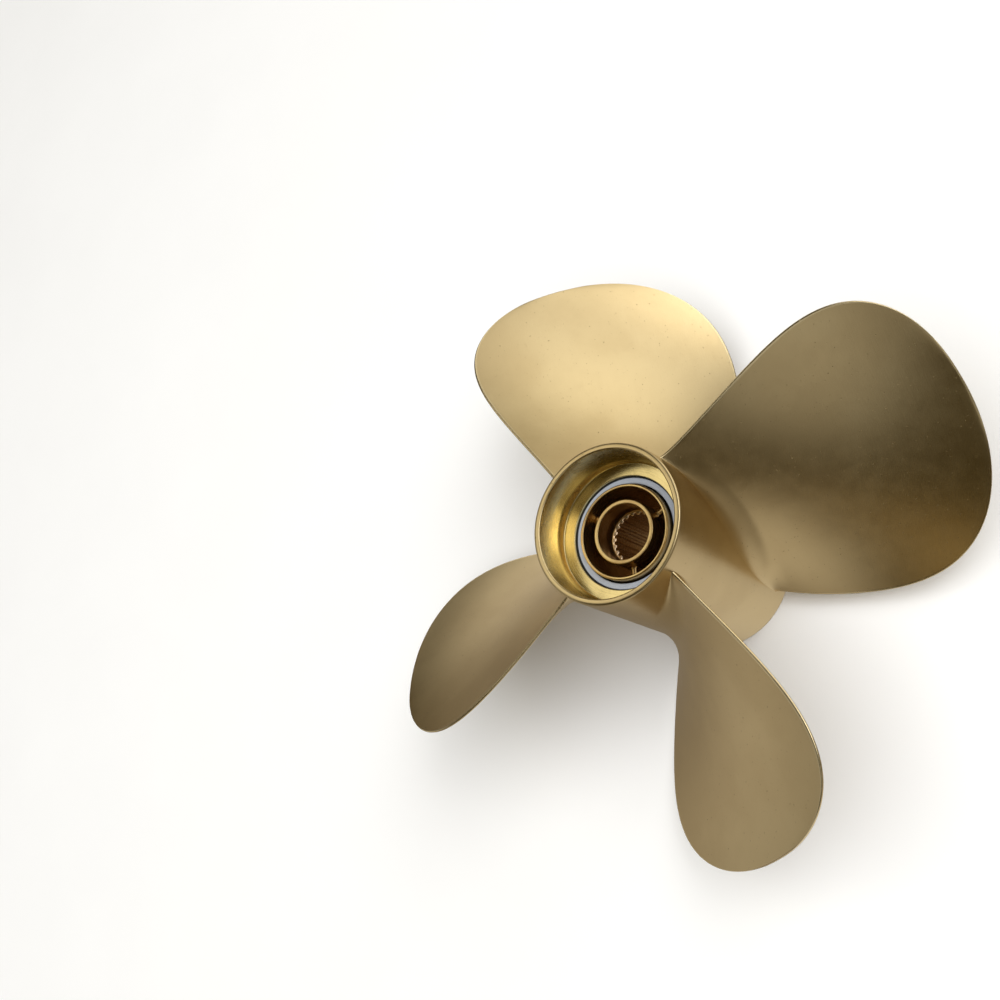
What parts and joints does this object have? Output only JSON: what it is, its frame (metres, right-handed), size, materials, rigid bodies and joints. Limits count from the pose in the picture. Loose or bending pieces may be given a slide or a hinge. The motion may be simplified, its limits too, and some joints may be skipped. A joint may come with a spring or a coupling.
{
  "type": "boat propeller",
  "caption": "Right-handed bronze boat propeller with broad cast blades, a recessed tubular hub and a rubber-cushioned splined insert.",
  "frame": {"origin": "centre of the hub's rear rim, on the shaft axis, in the plane the propeller stands on", "axes": "+Z along the shaft axis towards the open front rim; +Y through the middle of the first blade's root"},
  "size_m": [0.5572, 0.5572, 0.216],
  "materials": {
    "cast_bronze": "satin, finely ground casting, turned bright inside the hub",
    "sleeve_bronze": "dull",
    "machined_brass": "turned, semi-bright",
    "ring_plastic": "matte",
    "black_rubber": "matte"
  },
  "bodies": {
    "insert": {"insert_tube": "machined_brass", "insert_core": "machined_brass", "insert_web_1": "machined_brass", "insert_web_2": "machined_brass", "insert_web_3": "machined_brass", "rubber_bush": "black_rubber"},
    "propeller": {"hub_shell": "cast_bronze", "blade_1": "cast_bronze", "blade_2": "cast_bronze", "blade_3": "cast_bronze", "blade_4": "cast_bronze", "bush_sleeve": "sleeve_bronze", "front_ring": "ring_plastic", "rear_ring": "ring_plastic", "front_seal": "black_rubber", "rear_seal": "black_rubber"}
  },
  "joints": [
    {"name": "hub_cushion_twist", "type": "hinge", "parent": "insert", "child": "propeller", "pos_m": [0, 0, 0.1], "axis": [0, 0, 1], "range_deg": [-6, 6], "stiffness_Nm_per_rad": 6000}
  ]
}
